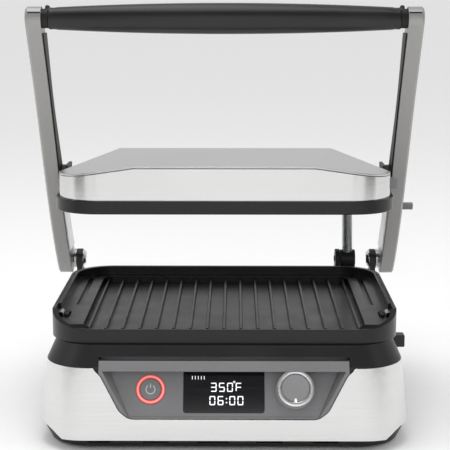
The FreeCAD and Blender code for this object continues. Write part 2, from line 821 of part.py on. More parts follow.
shield = prism(bezel_half - 12, -bezel_front + 20, bezel_front - 14, 28, 80, 87)
shield = shield.cut(prism(bezel_half - 13.2, -bezel_front + 21.2, bezel_front - 15.2, 27, 81.2, 90))
for x in (-96, 96):
    shield = shield.cut(box(x - 5, x + 5, 88, 110, 79, 90))
save("lower_heat_shield", shield)
save("lower_element", make_element(91.2, -78, 94))
probe = post(0, 8, 4, 83, 93).fuse(post(0, 8, 7, 81.2, 84))
save("lower_thermostat", probe)
clip = box(140.5, 144.0, -73, -57, 74, 108.5).fuse(box(140.5, 146.0, -73, -57, 74, 97))
tab = box(144.6, 146.4, -71, -59, 97.3, 110).fuse(box(144.6, 150.6, -71, -59, 109, 110.5))
save("clip_blocks", both(clip))
save("clip_springs", both(tab))
bracket = slab_x(
    [(hinge_y - 10, hinge_z), (hinge_y - 10, 78), (134.4, 70), (134.4, 62), (hinge_y + 10, 62), (hinge_y + 10, hinge_z)],
    151.2,
    156.8,
)
bracket = bracket.fuse(rod(hinge_y, hinge_z, 10, 151.2, 156.8))
foot_plate = box(142, 156.8, 134.4, 137.4, 56, 74)
bracket = bracket.fuse(foot_plate).cut(rod(hinge_y, hinge_z, pin_radius + run_clear, 140, 160))
save("hinge_bracket_right", bracket.removeSplitter())
save("hinge_bracket_left", mirrored(bracket.removeSplitter()))
inlet = Part.makeCylinder(8, 12, V(-90, 125, 40), V(0, 1, 0)).fuse(
    Part.makeCylinder(9.6, 3, V(-90, 133.2, 40), V(0, 1, 0))
)
inlet = inlet.cut(Part.makeCylinder(3.6, 30, V(-90, 110, 40), V(0, 1, 0)))
save("cord_inlet", inlet)
save("power_board", box(-90, -10, 40, 110, 24, 26))
tray = prism(140, -36, 122, 12, 58, 69)
tray = tray.cut(prism(138.6, -34.6, 120.6, 10.6, 59.4, 75))
front_piece = box(-140, 140, 121.9, 136.5, 58, 69)
tray = tray.fuse(front_piece.cut(box(-138.6, 138.6, 100, 130, 59.4, 75)))
grip_slot = box(-30, 30, 131, 140, 56, 63)
save("drip_tray", tray.cut(grip_slot).removeSplitter())

# ---- lower plate and its release --------------------------------------------------------------
save("lower_plate", make_lower_plate())
key = box(152, 167.7, -35.6, -24.4, 68.4, 79.6)
key = rounded_edges(key, 1.5, lambda e: e.BoundBox.XMin > 167.6)
save("lower_release_button", key.fuse(box(143, 153, -33, -27, 71, 77)).removeSplitter())

# ---- hinge ------------------------------------------------------------------------------------
pin = rod(hinge_y, hinge_z, pin_radius, 148, arm_outer - 4)
collar = rod(hinge_y, hinge_z, 10.2, 157.2, arm_inner - liner_wall - 0.4)
cone = Part.makeCone(6.5, 9.6, 3.6, V(147.2, hinge_y, hinge_z), V(1, 0, 0))
save("hinge_pin_right", pin.fuse(collar).fuse(cone).removeSplitter())
save("hinge_pin_left", mirrored(pin.fuse(collar).fuse(cone).removeSplitter()))
swivel = rod(hinge_y, hinge_z, swivel_radius, conduit_x - swivel_half, conduit_x + swivel_half)
swivel = swivel.fuse(rod(hinge_y, hinge_z, 3, conduit_x - 14, conduit_x - swivel_half + 1))
swivel = swivel.cut(post(conduit_x, hinge_y, conduit_radius + 1.0, hinge_z + 2, hinge_z + 20))
save("conduit_swivel", swivel.removeSplitter())
save("wiring_conduit", make_conduit())

# ---- arms and handle ----------------------------------------------------------------------------
arm = make_arm()
lock_y = lock_place()
bored = arm.cut(rod(lock_y, lock_z, 2.6, arm_inner + 2, arm_outer + 5))
save("arm_right", bored)
save("arm_left", mirrored(arm))
liner = arm_strip(1.6, 203, grip_z - 13, arm_inner - liner_wall, arm_inner)
liner = liner.cut(rod(pivot_y, pivot_z, pivot_pin + 1, 150, 170))
inner = arm_strip(2.2, 130, 202, arm_inner - liner_wall, arm_inner)
save("arm_liners", both(liner))
save("arm_strips", both(inner))
half_grip = arm_inner - 6.0
profile = [V(-half_grip, 0, grip_end_radius), V(0, 0, grip_radius), V(half_grip, 0, grip_end_radius)]
crown = Part.Arc(*profile).toShape()
ends = Part.makePolygon([profile[2], V(half_grip, 0, 0), V(-half_grip, 0, 0), profile[0]])
grip = Part.Face(Part.Wire([crown] + ends.Edges)).revolve(V(0, 0, 0), V(1, 0, 0), 360)
grip.translate(V(0, grip_y, grip_z))
grip = grip.cut(rod(grip_y, grip_z, tube_radius + 0.02, -200, 200))
save("handle_grip", grip)
save("handle_tube", rod(grip_y, grip_z, tube_radius, -arm_outer + 4.2, arm_outer - 4.2))
ferrule = rod(grip_y, grip_z, 8.6, half_grip + 0.1, arm_inner - 0.1)
ferrule = ferrule.cut(rod(grip_y, grip_z, tube_radius + 0.02, 100, 200))
save("handle_ferrules", both(ferrule))
foot = Part.makeCylinder(2.2, 9, V(158.8, grip_y, grip_z), V(0, 0.83, 0.56))
foot.translate(V(0, 0.83, 0.56) * 8.4)
stud = foot.cut(rod(grip_y, grip_z, 8.62, 100, 200))
save("handle_feet", both(stud))
knob_pin = rod(lock_y, lock_z, lock_radius, arm_outer + 0.4, arm_outer + lock_tip)
knob_pin = rounded_edges(knob_pin, 0.8, lambda e: e.BoundBox.XMin > arm_outer + lock_tip - 0.1)
knob_pin = knob_pin.fuse(rod(lock_y, lock_z, 2.55, arm_inner + 6.5, arm_outer + 1))
save("hinge_lock_pin", knob_pin.removeSplitter())

# ---- lid ----------------------------------------------------------------------------------------
save("lid_cover", make_cover())
save("lid_band", make_band())
save("lid_frame", make_lid_frame())
pivot = make_pivot()
save("lid_pivot_right", pivot)
save("lid_pivot_left", mirrored(pivot))
save("lid_gland", make_gland())
key = box(139, 160.2, -18.4, -7.6, 215, 224)
save("upper_release_button", rounded_edges(key, 1.2, lambda e: e.BoundBox.XMin > 160.1))
shield = prism(plate_half - 26, lid_front + 20, lid_back - 31, 22, 209, 214.4)
shield = shield.cut(prism(plate_half - 27.2, lid_front + 21.2, lid_back - 32.2, 21, 205, 213.2))
save("upper_heat_shield", shield)
upper = make_element(0, lid_front + 34, lid_back - 40, radius=3.3, half=96.0)
upper.translate(V(0, 0, upper_top - 1.2))
save("upper_element", upper)
save("upper_plate", make_upper_plate())
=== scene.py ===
import json
import math

import bmesh
import bpy
import numpy as np
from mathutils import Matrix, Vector


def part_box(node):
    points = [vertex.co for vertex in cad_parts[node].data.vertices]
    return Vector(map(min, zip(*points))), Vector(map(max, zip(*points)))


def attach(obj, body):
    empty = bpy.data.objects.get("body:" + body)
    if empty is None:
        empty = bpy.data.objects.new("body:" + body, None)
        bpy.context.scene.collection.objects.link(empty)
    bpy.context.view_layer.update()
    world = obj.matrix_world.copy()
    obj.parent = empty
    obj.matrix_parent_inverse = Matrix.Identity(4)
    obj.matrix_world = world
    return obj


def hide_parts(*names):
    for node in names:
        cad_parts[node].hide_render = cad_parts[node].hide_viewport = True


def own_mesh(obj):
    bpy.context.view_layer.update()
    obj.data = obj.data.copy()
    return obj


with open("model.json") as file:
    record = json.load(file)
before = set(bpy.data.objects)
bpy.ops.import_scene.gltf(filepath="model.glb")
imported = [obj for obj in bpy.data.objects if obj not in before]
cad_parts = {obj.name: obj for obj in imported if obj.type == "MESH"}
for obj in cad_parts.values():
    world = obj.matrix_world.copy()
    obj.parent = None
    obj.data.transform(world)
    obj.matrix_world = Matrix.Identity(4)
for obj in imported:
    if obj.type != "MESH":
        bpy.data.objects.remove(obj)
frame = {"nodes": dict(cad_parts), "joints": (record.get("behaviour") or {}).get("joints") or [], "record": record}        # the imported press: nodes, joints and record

scene = bpy.context.scene
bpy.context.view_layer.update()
nodes = frame["nodes"]
joints = {joint["name"]: joint for joint in frame["joints"]}
mm = 0.001
print("frame loaded:", len(nodes), "nodes")


# camera
cameraView = {
    "place": (0.00345, -1.2625, 0.3993), "down": 10.11, "left": 0.445, "lens": 107.2, "sensor": 36.0,
}


def addCamera():
    data = bpy.data.cameras.new("camera")
    data.lens = cameraView["lens"]
    data.sensor_width = cameraView["sensor"]
    camera = bpy.data.objects.new("camera", data)
    scene.collection.objects.link(camera)
    camera.location = cameraView["place"]
    camera.rotation_euler = (math.radians(90 - cameraView["down"]), 0, math.radians(cameraView["left"]))
    scene.camera = camera


addCamera()


# shader wiring
# One output socket; arithmetic on it adds Math nodes to its finish.
class Wire:
    def __init__(self, finish, socket):
        self.finish = finish
        self.socket = socket

    def maths(self, operation, *values):
        return self.finish.add("ShaderNodeMath", {"operation": operation}, dict(enumerate(values)))

    def __add__(self, other):
        return self.maths("ADD", self, other)

    def __radd__(self, other):
        return self.maths("ADD", other, self)

    def __sub__(self, other):
        return self.maths("SUBTRACT", self, other)

    def __rsub__(self, other):
        return self.maths("SUBTRACT", other, self)

    def __mul__(self, other):
        return self.maths("MULTIPLY", self, other)

    def __rmul__(self, other):
        return self.maths("MULTIPLY", other, self)

    def __truediv__(self, other):
        return self.maths("DIVIDE", self, other)

    def __pow__(self, other):
        return self.maths("POWER", self, other)

    # 0 up to low, 1 from high on, straight in between.
    def between(self, low, high):
        settings = {"clamp": True}
        values = {"Value": self, "From Min": low, "From Max": high, "To Min": 0.0, "To Max": 1.0}
        return self.finish.add("ShaderNodeMapRange", settings, values)


# A material, its shader and the few node groups that the finishes share.
class Finish:
    def __init__(self, name, **constants):
        self.material = bpy.data.materials.new(name)
        self.material.use_nodes = True
        self.tree = self.material.node_tree
        self.shader = self.tree.nodes["Principled BSDF"]
        for socketName, value in constants.items():
            self.shader.inputs[socketName.replace("_", " ")].default_value = value

    def add(self, kind, settings=None, values=None, output=0):
        node = self.tree.nodes.new(kind)
        for key, value in (settings or {}).items():
            if key == "stops":
                ramp = node.color_ramp
                while len(ramp.elements) < len(value):
                    ramp.elements.new(0.5)
                for element, (position, colour) in zip(ramp.elements, value):
                    element.position = position
                    element.color = (*colour, 1.0)
            else:
                setattr(node, key, value)
        for key, value in (values or {}).items():
            if isinstance(value, Wire):
                self.tree.links.new(value.socket, node.inputs[key])
            else:
                node.inputs[key].default_value = value
        return Wire(self, node.outputs[output])

    # Object coordinates, moved to a centre, turned, then stretched.
    def place(self, centre=(0, 0, 0), turn=(0, 0, 0), stretch=(1, 1, 1)):
        coordinate = self.add("ShaderNodeTexCoord", output="Object")
        moved = self.add("ShaderNodeVectorMath", {"operation": "SUBTRACT"}, {0: coordinate, 1: centre})
        return self.add(
            "ShaderNodeMapping",
            {"vector_type": "POINT"},
            {"Vector": moved, "Rotation": turn, "Scale": stretch},
        )

    def noise(self, vector, scale, detail=3.0, rough=0.55):
        values = {"Vector": vector, "Scale": scale, "Detail": detail, "Roughness": rough}
        return self.add("ShaderNodeTexNoise", {}, values)

    def ramp(self, factor, stops):
        return self.add("ShaderNodeValToRGB", {"stops": stops}, {"Fac": factor})

    def mix(self, factor, one, two):
        values = {"Factor": factor, "A": one, "B": two}
        node = self.tree.nodes.new("ShaderNodeMix")
        node.data_type = "RGBA"
        picked = {"Factor": node.inputs[0], "A": node.inputs[6], "B": node.inputs[7]}
        for key, value in values.items():
            if isinstance(value, Wire):
                self.tree.links.new(value.socket, picked[key])
            else:
                picked[key].default_value = value if key == "Factor" else (*value, 1.0)
        return Wire(self, node.outputs[2])

    # The normal of an edge rounded by radius.
    def rounded(self, radius):
        return self.add("ShaderNodeBevel", {"samples": 6}, {"Radius": radius})

    # 1 on edges, 0 on flats: how far the rounded normal leaves the flat one; the finishes use it to paint
    #                         highlights and sheen on edges.
    def edges(self, soft, low=0.02, high=0.25):
        flat = self.add("ShaderNodeNewGeometry", output="Normal")
        pair = {0: soft, 1: flat}
        dot = self.add("ShaderNodeVectorMath", {"operation": "DOT_PRODUCT"}, pair, output="Value")
        return (1.0 - dot).between(low, high)

    def bump(self, height, distance, strength=1.0, normal=None):
        values = {"Height": height, "Distance": distance, "Strength": strength}
        if normal is not None:
            values["Normal"] = normal
        return self.add("ShaderNodeBump", {}, values)

    def feed(self, **wires):
        for socketName, wire in wires.items():
            self.tree.links.new(wire.socket, self.shader.inputs[socketName.replace("_", " ")])
        return self.material


# finishes
# Streaks long along the grain and fine across it, in tone, gloss and height; edges lifted to near white as
# a painted highlight.
def brushedSteel(name, dark, light, grain, roughness=0.24, stretch=0.5, radius=0.5):
    finish = Finish(name, Metallic=1.0, Anisotropic=stretch)
    soft = finish.rounded(radius * mm)
    long = finish.place(stretch=grain)
    fine = finish.noise(long, 1.0, 4.0, 0.7)
    broad = finish.noise(finish.place(), 9.0, 2.0)
    edge = finish.edges(soft)
    tone = finish.mix(fine, dark, light)
    # painted highlight: edges pushed towards near white along the edge mask
    tone = finish.mix(edge * 0.6, tone, (0.95, 0.95, 0.94))
    gloss = roughness + (fine - 0.5) * 0.16 + (broad - 0.5) * 0.08
    relief = finish.bump(fine, 0.03 * mm, 0.35, soft)
    return finish.feed(Base_Color=tone, Roughness=gloss, Normal=relief)


# Metallic paint: flakes in tone, faint orange peel, and edges brightened as a painted highlight.
def satinPaint(name, colour, sparkle, roughness=0.38, radius=0.6):
    finish = Finish(name, Metallic=0.55, Coat_Weight=0.15, Coat_Roughness=0.25)
    soft = finish.rounded(radius * mm)
    flakes = finish.noise(finish.place(), 2600.0, 2.0)
    peel = finish.noise(finish.place(), 420.0, 2.0)
    broad = finish.noise(finish.place(), 14.0, 3.0)
    lighter = tuple(min(1.0, c + sparkle) for c in colour)
    tone = finish.mix(flakes.between(0.35, 0.75), colour, lighter)
    # painted highlight: edges lifted towards pale grey along the edge mask
    tone = finish.mix(finish.edges(soft) * 0.45, tone, (0.75, 0.74, 0.72))
    gloss = roughness + (broad - 0.5) * 0.12 + (flakes - 0.5) * 0.08
    relief = finish.bump(peel, 0.04 * mm, 0.3, soft)
    return finish.feed(Base_Color=tone, Roughness=gloss, Normal=relief)


# Spark-eroded mould texture, a slow drift of tone, and edges painted paler as a painted sheen.
def mouldedPlastic(
    name, colour, roughness=0.42, grain=1500.0, depth=0.05, radius=0.5, edgeSheen=0.12, shine=1.38,
):
    finish = Finish(name, IOR=shine)
    soft = finish.rounded(radius * mm)
    pits = finish.noise(finish.place(), grain, 3.0, 0.6)
    broad = finish.noise(finish.place(), 17.0, 3.0)
    paler = tuple(c * 1.25 + 0.01 for c in colour)
    # painted sheen: the edge colour lifted above the plastic's own colour
    sheenColour = tuple(min(1.0, c + edgeSheen) for c in colour)
    tone = finish.mix(broad, colour, paler)
    tone = finish.mix(finish.edges(soft) * 0.5, tone, sheenColour)
    gloss = roughness + (pits - 0.5) * 0.14 + (broad - 0.5) * 0.1
    relief = finish.bump(pits, depth * mm, 0.5, soft)
    return finish.feed(Base_Color=tone, Roughness=gloss, Normal=relief)


# Baked coating: speckle of fine mineral flecks, slight swirls, and edges lightened as a painted highlight.
def nonStick(name, colour, roughness=0.3):
    finish = Finish(name, IOR=1.42)
    soft = finish.rounded(0.7 * mm)
    flecks = finish.noise(finish.place(), 3200.0, 2.0)
    swirl = finish.noise(finish.place(), 38.0, 4.0)
    lighter = tuple(c * 2.2 + 0.012 for c in colour)
    tone = finish.mix(flecks.between(0.55, 0.8) * 0.6, colour, lighter)
    # painted highlight: edges lifted towards mid grey along the edge mask
    tone = finish.mix(finish.edges(soft) * 0.25, tone, (0.16, 0.16, 0.165))
    gloss = roughness + (swirl - 0.5) * 0.16
    relief = finish.bump(flecks, 0.03 * mm, 0.4, soft)
    return finish.feed(Base_Color=tone, Roughness=gloss, Normal=relief)


# Mirror finish with faint hairlines and smears.
def polishedChrome(name, tint=(0.82, 0.82, 0.83)):
    finish = Finish(name, Metallic=1.0)
    soft = finish.rounded(0.35 * mm)
    hair = finish.noise(finish.place(stretch=(400, 3000, 3000)), 1.0, 3.0)
    smear = finish.noise(finish.place(), 60.0, 2.0)
    tone = finish.mix(smear, tint, tuple(min(1.0, c + 0.1) for c in tint))
    gloss = 0.06 + smear * 0.07 + hair * 0.03
    relief = finish.bump(hair, 0.01 * mm, 0.2, soft)
    return finish.feed(Base_Color=tone, Roughness=gloss, Normal=relief)


# Rolled or plated sheet: rolling lines and cloudy tarnish.
def millMetal(name, colour, roughness=0.4, grain=(900, 40, 900), tarnish=(0.3, 0.26, 0.2), amount=0.25):
    finish = Finish(name, Metallic=1.0)
    soft = finish.rounded(0.3 * mm)
    rolled = finish.noise(finish.place(stretch=grain), 1.0, 3.0)
    cloud = finish.noise(finish.place(), 70.0, 4.0)
    tone = finish.mix(rolled * 0.5, colour, tuple(c * 0.8 for c in colour))
    tone = finish.mix(cloud.between(0.45, 0.8) * amount, tone, tarnish)
    gloss = roughness + (cloud - 0.5) * 0.2
    relief = finish.bump(rolled, 0.02 * mm, 0.3, soft)
    return finish.feed(Base_Color=tone, Roughness=gloss, Normal=relief)


# Smoked window: deep black, glossy, with dust and fine wipe marks.
def blackGlass(name):
    finish = Finish(name, IOR=1.5, Coat_Weight=0.4, Coat_Roughness=0.05)
    soft = finish.rounded(0.5 * mm)
    wipe = finish.noise(finish.place(stretch=(40, 700, 700)), 1.0, 3.0)
    tone = finish.mix(wipe, (0.003, 0.003, 0.004), (0.009, 0.009, 0.011))
    gloss = 0.06 + wipe * 0.08
    relief = finish.bump(wipe, 0.004 * mm, 0.1, soft)
    return finish.feed(Base_Color=tone, Roughness=gloss, Normal=relief)


# Green lacquer over copper tracks on a square grid.
def circuitBoard(name):
    finish = Finish(name, Coat_Weight=0.3)
    grid = finish.place(stretch=(180, 180, 180))
    tracks = finish.add("ShaderNodeTexBrick", {"offset": 0.5}, {"Vector": grid, "Scale": 1.0}, output="Fac")
    blotch = finish.noise(finish.place(), 220.0, 3.0)
    tone = finish.mix(tracks, (0.012, 0.10, 0.045), (0.05, 0.24, 0.10))
    tone = finish.mix(blotch.between(0.62, 0.7), tone, (0.45, 0.38, 0.2))
    gloss = 0.3 + blotch * 0.2
    relief = finish.bump(tracks, 0.05 * mm, 0.5)
    return finish.feed(Base_Color=tone, Roughness=gloss, Normal=relief)


# the control panel's own axes, from the power button's slide and the knob's axis
panelOut = -Vector(joints["power_press"]["axis"])
panelUp = Vector((0, -panelOut.z, panelOut.y)) * -1
knobCentre = Vector(joints["knob_turn"]["pos_m"])
knobStand = 5.0 * mm     # the knob's joint is this far in front of the panel's face
panelTurn = (math.asin(panelUp.y) - math.pi / 2, 0, 0)
buttonLow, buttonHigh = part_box("power_button")
windowLow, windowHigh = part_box("display_window")
panelMiddle = knobCentre - panelOut * knobStand


# A point given across, up along the panel's face from its middle, and out of it.
def onPanel(x, up, out):
    across = Vector((x - panelMiddle.x, 0, 0))
    return panelMiddle + across + panelUp * up + panelOut * out


buttonX = (buttonLow.x + buttonHigh.x) / 2
windowX = (windowLow.x + windowHigh.x) / 2


# A red light guide, paler along its middle line, where the lamps are.
def glowingRing(name):
    finish = Finish(name, Roughness=0.3)
    spot = finish.place(centre=onPanel(buttonX, 0, 0), turn=panelTurn)
    parts = finish.add("ShaderNodeSeparateXYZ", {}, {"Vector": spot}, output="X")
    upPart = Wire(finish, parts.socket.node.outputs["Y"])
    radius = (parts * parts + upPart * upPart) ** 0.5
    middle, half = 11.15 * mm, 1.75 * mm
    offLine = radius.maths("ABSOLUTE", radius - middle) / half
    lamps = finish.noise(finish.place(), 320.0, 2.0)
    stops = [(0.0, (0.95, 0.42, 0.38)), (0.35, (0.82, 0.16, 0.14)), (1.0, (0.42, 0.02, 0.02))]
    tone = finish.ramp(offLine, stops)
    glow = finish.mix(lamps * 0.3, tone, (0.6, 0.05, 0.04))
    finish.shader.inputs["Emission Strength"].default_value = 0.35
    relief = finish.bump(lamps, 0.03 * mm, 0.3)
    return finish.feed(Base_Color=tone, Emission_Color=glow, Normal=relief)


# Lamps under a diffusing film: nearly even white with soft grain.
def litSegments(name):
    finish = Finish(name, Roughness=0.4)
    grain = finish.noise(finish.place(), 900.0, 2.0)
    tone = finish.mix(grain, (0.80, 0.84, 0.86), (0.97, 0.98, 1.0))
    finish.shader.inputs["Emission Strength"].default_value = 0.55
    relief = finish.bump(grain, 0.01 * mm, 0.2)
    return finish.feed(Base_Color=tone, Emission_Color=tone, Normal=relief)


# Satin face with fine turned rings round its centre.
def spunFace(name, colour, centre):
    finish = Finish(name, IOR=1.47)
    spot = finish.place(centre=centre, turn=panelTurn)
    parts = finish.add("ShaderNodeSeparateXYZ", {}, {"Vector": spot}, output="X")
    upPart = Wire(finish, parts.socket.node.outputs["Y"])
    radius = (parts * parts + upPart * upPart) ** 0.5
    ringPitch = 0.45 * mm
    turns = radius * (2 * math.pi / ringPitch)
    rings = turns.maths("SINE", turns)
    pits = finish.noise(finish.place(), 1800.0, 2.0)
    tone = finish.mix(pits, colour, tuple(c * 1.3 for c in colour))
    gloss = 0.4 + (pits - 0.5) * 0.12
    relief = finish.bump(rings * 0.5 + pits * 0.5, 0.02 * mm, 0.4, finish.rounded(0.4 * mm))
    return finish.feed(Base_Color=tone, Roughness=gloss, Normal=relief)


# grain: few per metre along the brushing, many across it
alongX = (14, 1400, 1400)
aroundBase = (10, 10, 1500)
steelBand = brushedSteel("steelBand", (0.60, 0.60, 0.60), (0.86, 0.86, 0.85), aroundBase, 0.2)
steelLid = brushedSteel("steelLid", (0.56, 0.56, 0.57), (0.74, 0.74, 0.74), alongX, 0.3, 0.3, 1.2)
armPaint = satinPaint("armPaint", (0.30, 0.295, 0.285), 0.09)
linerBlack = mouldedPlastic("linerBlack", (0.004, 0.004, 0.004), 0.5, edgeSheen=0.05)
gripBlack = mouldedPlastic("gripBlack", (0.006, 0.006, 0.007), 0.33, 1900.0, 0.03, edgeSheen=0.05, shine=1.45)
charcoal = mouldedPlastic("charcoal", (0.009, 0.009, 0.0095), 0.36, 1300.0, edgeSheen=0.08, shine=1.42)
panBlack = mouldedPlastic("panBlack", (0.006, 0.006, 0.006), 0.42, 1300.0, edgeSheen=0.05)
panelGrey = mouldedPlastic("panelGrey", (0.155, 0.155, 0.16), 0.42, 1700.0)
buttonGrey = mouldedPlastic("buttonGrey", (0.16, 0.16, 0.165), 0.35, 1700.0)
footRubber = mouldedPlastic("footRubber", (0.015, 0.015, 0.015), 0.75, 700.0, 0.12)
plateCoat = nonStick("plateCoat", (0.0075, 0.0075, 0.008))
chrome = polishedChrome("chrome")
windowGlass = blackGlass("windowGlass")
redRing = glowingRing("redRing")
segments = litSegments("segments")
knobGrey = spunFace("knobGrey", (0.19, 0.19, 0.195), knobCentre)
sheetAluminium = millMetal("sheetAluminium", (0.78, 0.78, 0.79))
zincPlate = millMetal("zincPlate", (0.62, 0.63, 0.65), 0.33, (300, 300, 300), (0.55, 0.5, 0.42))
heaterSteel = millMetal("heaterSteel", (0.36, 0.33, 0.30), 0.45, (60, 60, 60), (0.22, 0.13, 0.2), 0.6)
sleeveSteel = millMetal("sleeveSteel", (0.50, 0.51, 0.52), 0.34, (900, 900, 40), (0.4, 0.4, 0.4))
board = circuitBoard("board")
rimMetal = millMetal("rimMetal", (0.92, 0.92, 0.92), 0.3, (500, 500, 500), (0.8, 0.8, 0.8))
markWhite = mouldedPlastic("markWhite", (0.78, 0.78, 0.78), 0.4, 900.0, 0.02, 0.2, 0.1)
markGrey = mouldedPlastic("markGrey", (0.42, 0.42, 0.43), 0.4, 900.0, 0.02, 0.2, 0.1)
print("finishes made")

nodeFinish = {
    "base_wrap": steelBand, "lid_band": steelBand, "lid_cover": steelLid,
    "base_pan": panBlack, "rear_cover": panBlack, "base_bezel": charcoal, "feet": footRubber,
    "cord_inlet": footRubber, "base_screws": zincPlate,
    "panel_housing": panelGrey, "control_panel": panelGrey, "power_button": panelGrey,
    "display_window": windowGlass, "power_ring": redRing, "knob_body": knobGrey, "knob_rim": chrome,
    "display_board": board, "control_board": board, "power_board": board,
    "handle_feet": footRubber, "power_switch": linerBlack,
    "knob_encoder": zincPlate, "knob_shaft": zincPlate,
    "lower_heat_shield": sheetAluminium, "upper_heat_shield": sheetAluminium,
    "lower_element": heaterSteel, "upper_element": heaterSteel, "lower_thermostat": zincPlate,
    "lower_plate": plateCoat, "upper_plate": plateCoat, "drip_tray": panBlack,
    "lower_release_button": charcoal, "upper_release_button": buttonGrey, "hinge_lock_pin": buttonGrey,
    "clip_blocks": linerBlack, "clip_springs": zincPlate,
    "hinge_bracket_right": charcoal, "hinge_bracket_left": charcoal,
    "hinge_pin_right": chrome, "hinge_pin_left": chrome, "conduit_swivel": panBlack,
    "wiring_conduit": sleeveSteel, "arm_right": armPaint, "arm_left": armPaint,
    "arm_liners": linerBlack, "arm_strips": sheetAluminium,
    "handle_grip": gripBlack, "handle_tube": zincPlate, "handle_ferrules": linerBlack,
    "lid_frame": panBlack, "lid_pivot_right": panBlack, "lid_pivot_left": panBlack, "lid_gland": panBlack,
}
for nodeName, node in nodes.items():
    node.material_slots[0].material = nodeFinish[nodeName]
print("finishes put on the frame's nodes")


# surfaces
# A mesh from an array of points, rows along u and columns along v, joined where it closes.
def gridSurface(name, points, closeU=False, closeV=False):
    rows, columns = points.shape[:2]
    index = np.arange(rows * columns).reshape(rows, columns)
    lastU = rows if closeU else rows - 1
    lastV = columns if closeV else columns - 1
    u, v = np.meshgrid(np.arange(lastU), np.arange(lastV), indexing="ij")
    nextU, nextV = (u + 1) % rows, (v + 1) % columns
    faces = np.stack([index[u, v], index[nextU, v], index[nextU, nextV], index[u, nextV]], -1)
    return quadMesh(name, points.reshape(-1, 3), faces.reshape(-1, 4))


def quadMesh(name, points, faces):
    mesh = bpy.data.meshes.new(name)
    mesh.vertices.add(len(points))
    mesh.vertices.foreach_set("co", np.asarray(points, np.float32).ravel())
    mesh.loops.add(faces.size)
    mesh.loops.foreach_set("vertex_index", np.asarray(faces, np.int32).ravel())
    mesh.polygons.add(len(faces))
    mesh.polygons.foreach_set("loop_start", np.arange(0, faces.size, 4, dtype=np.int32))
    mesh.update(calc_edges=True)
    mesh.validate()
    piece = bpy.data.objects.new(name, mesh)
    scene.collection.objects.link(piece)
    return piece


# Merges poles and seams and turns every face outwards.
def closeUp(piece, merge=0.004 * mm, smooth=True):
    work = bmesh.new()
    work.from_mesh(piece.data)
    bmesh.ops.remove_doubles(work, verts=work.verts, dist=merge)
    bmesh.ops.dissolve_degenerate(work, edges=work.edges, dist=merge / 4)
    bmesh.ops.recalc_face_normals(work, faces=work.faces)
    for face in work.faces:
        face.smooth = smooth
    work.to_mesh(piece.data)
    work.free()
    return piece


def finishPiece(piece, material, body, replaced=()):
    piece.data.materials.append(material)
    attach(piece, body)
    if replaced:
        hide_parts(*replaced)
    return piece


# A profile of (distance along the axis, radius) turned round the axis; ripple(angle, row) scales radii.
def turned(name, profile, centre, axis, steps=96, ripple=None):
    axis = np.array(Vector(axis).normalized())
    side = np.array(Vector(axis).orthogonal().normalized())
    other = np.cross(axis, side)
    profile = np.asarray(profile, float)
    angle = np.linspace(0, 2 * math.pi, steps, endpoint=False)
    radius = profile[:, 1][:, None] * np.ones(steps)[None, :]
    if ripple is not None:
        radius = ripple(radius, angle[None, :], profile[:, 0][:, None])
    ring = np.cos(angle)[None, :, None] * side + np.sin(angle)[None, :, None] * other
    points = np.array(centre) + profile[:, 0][:, None, None] * axis + radius[:, :, None] * ring
    return closeUp(gridSurface(name, points, closeV=True))


# A profile with every inner corner replaced by a small arc drawn as a quadratic curve.
def softCorners(points, radius, steps=5):
    points = [np.array(p, float) for p in points]
    smooth = [points[0]]
    for before, corner, after in zip(points, points[1:], points[2:]):
        reachIn = min(radius, np.linalg.norm(corner - before) / 2.01)
        reachOut = min(radius, np.linalg.norm(after - corner) / 2.01)
        start = corner + (before - corner) / np.linalg.norm(before - corner) * reachIn
        end = corner + (after - corner) / np.linalg.norm(after - corner) * reachOut
        for t in np.linspace(0, 1, steps):
            smooth.append((1 - t) ** 2 * start + 2 * t * (1 - t) * corner + t * t * end)
    smooth.append(points[-1])
    return np.array(smooth)


# A flat outline of (across, up) on the panel, given a thickness from low to high.
def plateOnPanel(name, outline, x, up, low, high):
    outline = np.asarray(outline, float)
    across = np.array((1.0, 0, 0))
    upward, outward = np.array(panelUp), np.array(panelOut)
    flat = np.array(onPanel(x, up, 0)) + outline[:, :1] * across + outline[:, 1:] * upward
    centre = flat.mean(0)
    rings = [centre + 0 * flat, flat, flat, centre + 0 * flat]
    heights = [low, low, high, high]
    points = np.stack([ring + outward * height for ring, height in zip(rings, heights)])
    return closeUp(gridSurface(name, points, closeV=True), smooth=False)


# Several pieces made one mesh; all sit at the origin.
def joinPieces(name, parts):
    points = []
    faces = []
    start = 0
    for part in parts:
        count = len(part.data.vertices)
        flat = np.zeros(count * 3, np.float32)
        part.data.vertices.foreach_get("co", flat)
        points.append(flat.reshape(-1, 3))
        faces += [[i + start for i in polygon.vertices] for polygon in part.data.polygons]
        start += count
        bpy.data.objects.remove(part)
    mesh = bpy.data.meshes.new(name)
    mesh.from_pydata(np.concatenate(points).tolist(), [], faces)
    piece = bpy.data.objects.new(name, mesh)
    scene.collection.objects.link(piece)
    return piece


# the wiring conduit: a steel-ribbed sleeve between the base and the lid
conduit = {
    "route": [
        (0.12175, 0.127119, 0.122),
        (0.12175, 0.132119, 0.146),
        (0.12175, 0.138119, 0.170),
        (0.12175, 0.144119, 0.193),
        (0.12175, 0.146519, 0.215),
    ],
    "radius": 5.5 * mm,
    "ribDepth": 0.35 * mm,
    "ribPitch": 2.2 * mm,
    "around": 40,
    "along": 420,
    "folded": 0.086,     # what is left of its length towards the lid with the lid down
}


